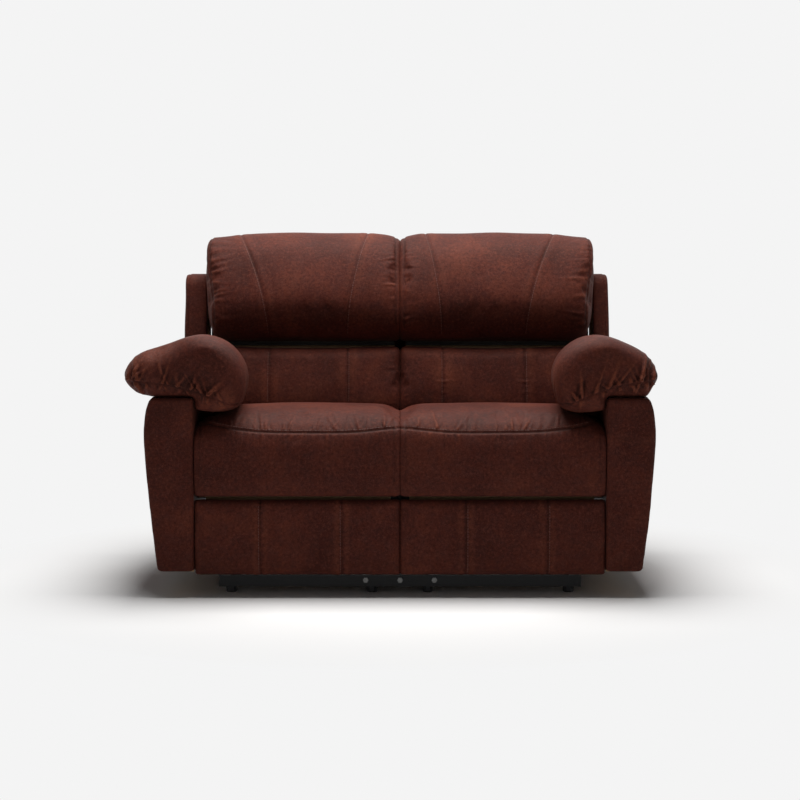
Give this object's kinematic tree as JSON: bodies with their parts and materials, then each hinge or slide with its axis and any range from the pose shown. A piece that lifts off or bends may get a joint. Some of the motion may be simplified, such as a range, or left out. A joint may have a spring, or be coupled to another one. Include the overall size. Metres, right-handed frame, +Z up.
{
  "type": "reclining sofa",
  "caption": "Reclining loveseat with pillow backs and arms, fold-out scissor footrests, leaning backs and release levers in the arms.",
  "frame": {"origin": "on the floor, under the middle of the sofa's bounding box", "axes": "+Z up, front faces -Y, +X to the viewer's right"},
  "size_m": [1.4778, 0.9379, 1.0178],
  "materials": {
    "leather": "satin",
    "wood": "matte",
    "webbing": "matte",
    "steel": "satin",
    "link_steel": "satin",
    "rail_paint": "satin",
    "zinc": "satin",
    "handle_plastic": "satin",
    "glide_plastic": "matte"
  },
  "bodies": {
    "base": {"front_rail": "rail_paint", "rear_rail": "rail_paint", "side_rails": "rail_paint", "glides": "glide_plastic", "rail_bolts": "zinc", "pivot_pins": "zinc", "arm_bolts": "zinc", "side_plates_right": "steel", "side_plates_left": "steel", "seat_frame_right": "wood", "seat_frame_left": "wood", "seat_webbing_right": "webbing", "seat_webbing_left": "webbing", "seat_cushion_right": "leather", "seat_cushion_left": "leather", "arm_frame_right": "wood", "arm_frame_left": "wood", "arm_panels_right": "leather", "arm_panels_left": "leather", "arm_front_right": "leather", "arm_front_left": "leather", "arm_pad_right": "leather", "arm_pad_left": "leather", "handle_cup_right": "handle_plastic", "handle_cup_left": "handle_plastic", "hinge_plates_right": "steel", "hinge_plates_left": "steel"},
    "first_links_right": {"low_link_1_right": "link_steel", "drive_shaft_right": "steel"},
    "second_links_right": {"high_link_1_right": "link_steel"},
    "third_links_right": {"high_link_2_right": "link_steel"},
    "fourth_links_right": {"low_link_2_right": "link_steel"},
    "footrest_right": {"low_link_3_right": "link_steel", "footrest_board_right": "wood", "footrest_pad_right": "leather"},
    "fifth_links_right": {"high_link_3_right": "link_steel"},
    "back_right": {"back_brackets_right": "steel", "back_frame_right": "wood", "back_webbing_right": "webbing", "back_shell_right": "leather", "lumbar_cushion_right": "leather", "head_pillow_right": "leather"},
    "lever_right": {"release_lever_right": "handle_plastic"},
    "first_links_left": {"low_link_1_left": "link_steel", "drive_shaft_left": "steel"},
    "second_links_left": {"high_link_1_left": "link_steel"},
    "third_links_left": {"high_link_2_left": "link_steel"},
    "fourth_links_left": {"low_link_2_left": "link_steel"},
    "footrest_left": {"low_link_3_left": "link_steel", "footrest_board_left": "wood", "footrest_pad_left": "leather"},
    "fifth_links_left": {"high_link_3_left": "link_steel"},
    "back_left": {"back_brackets_left": "steel", "back_frame_left": "wood", "back_webbing_left": "webbing", "back_shell_left": "leather", "lumbar_cushion_left": "leather", "head_pillow_left": "leather"},
    "lever_left": {"release_lever_left": "handle_plastic"}
  },
  "joints": [
    {"name": "footrest_out_right", "type": "hinge", "parent": "base", "child": "first_links_right", "pos_m": [0.2765, -0.29, 0.234], "axis": [-1, 0, 0], "range_deg": [0, 79]},
    {"name": "crossing_1_right", "type": "hinge", "parent": "first_links_right", "child": "second_links_right", "pos_m": [0.2765, -0.31338, 0.14968], "axis": [-1, 0, 0], "range_deg": [-158, 0]},
    {"name": "lower_pin_1_right", "type": "hinge", "parent": "first_links_right", "child": "third_links_right", "pos_m": [0.2765, -0.33677, 0.06537], "axis": [-1, 0, 0], "range_deg": [-158, 0]},
    {"name": "crossing_2_right", "type": "hinge", "parent": "third_links_right", "child": "fourth_links_right", "pos_m": [0.2765, -0.3299, 0.1526], "axis": [-1, 0, 0], "range_deg": [0, 158]},
    {"name": "upper_pin_2_right", "type": "hinge", "parent": "third_links_right", "child": "footrest_right", "pos_m": [0.2765, -0.32304, 0.23983], "axis": [-1, 0, 0], "range_deg": [0, 158]},
    {"name": "crossing_3_right", "type": "hinge", "parent": "footrest_right", "child": "fifth_links_right", "pos_m": [0.2765, -0.34642, 0.15551], "axis": [-1, 0, 0], "range_deg": [-158, 0]},
    {"name": "back_recline_right", "type": "hinge", "parent": "base", "child": "back_right", "pos_m": [0.286, 0.205, 0.3], "axis": [-1, 0, 0], "range_deg": [0, 40]},
    {"name": "release_right", "type": "hinge", "parent": "base", "child": "lever_right", "pos_m": [0.702, -0.326, 0.43], "axis": [0, 0, -1], "range_deg": [0, 30], "stiffness_Nm_per_rad": 0.4},
    {"name": "footrest_out_left", "type": "hinge", "parent": "base", "child": "first_links_left", "pos_m": [-0.2765, -0.29, 0.234], "axis": [-1, 0, 0], "range_deg": [0, 79]},
    {"name": "crossing_1_left", "type": "hinge", "parent": "first_links_left", "child": "second_links_left", "pos_m": [-0.2765, -0.31338, 0.14968], "axis": [-1, 0, 0], "range_deg": [-158, 0]},
    {"name": "lower_pin_1_left", "type": "hinge", "parent": "first_links_left", "child": "third_links_left", "pos_m": [-0.2765, -0.33677, 0.06537], "axis": [-1, 0, 0], "range_deg": [-158, 0]},
    {"name": "crossing_2_left", "type": "hinge", "parent": "third_links_left", "child": "fourth_links_left", "pos_m": [-0.2765, -0.3299, 0.1526], "axis": [-1, 0, 0], "range_deg": [0, 158]},
    {"name": "upper_pin_2_left", "type": "hinge", "parent": "third_links_left", "child": "footrest_left", "pos_m": [-0.2765, -0.32304, 0.23983], "axis": [-1, 0, 0], "range_deg": [0, 158]},
    {"name": "crossing_3_left", "type": "hinge", "parent": "footrest_left", "child": "fifth_links_left", "pos_m": [-0.2765, -0.34642, 0.15551], "axis": [-1, 0, 0], "range_deg": [-158, 0]},
    {"name": "back_recline_left", "type": "hinge", "parent": "base", "child": "back_left", "pos_m": [-0.286, 0.205, 0.3], "axis": [-1, 0, 0], "range_deg": [0, 40]},
    {"name": "release_left", "type": "hinge", "parent": "base", "child": "lever_left", "pos_m": [-0.702, -0.326, 0.43], "axis": [0, 0, 1], "range_deg": [0, 30], "stiffness_Nm_per_rad": 0.4}
  ],
  "couplings": [
    {"joint": "crossing_1_right", "follows": "footrest_out_right", "ratio": -2},
    {"joint": "lower_pin_1_right", "follows": "footrest_out_right", "ratio": -2},
    {"joint": "crossing_2_right", "follows": "footrest_out_right", "ratio": 2},
    {"joint": "upper_pin_2_right", "follows": "footrest_out_right", "ratio": 2},
    {"joint": "crossing_3_right", "follows": "footrest_out_right", "ratio": -2},
    {"joint": "crossing_1_left", "follows": "footrest_out_left", "ratio": -2},
    {"joint": "lower_pin_1_left", "follows": "footrest_out_left", "ratio": -2},
    {"joint": "crossing_2_left", "follows": "footrest_out_left", "ratio": 2},
    {"joint": "upper_pin_2_left", "follows": "footrest_out_left", "ratio": 2},
    {"joint": "crossing_3_left", "follows": "footrest_out_left", "ratio": -2}
  ]
}
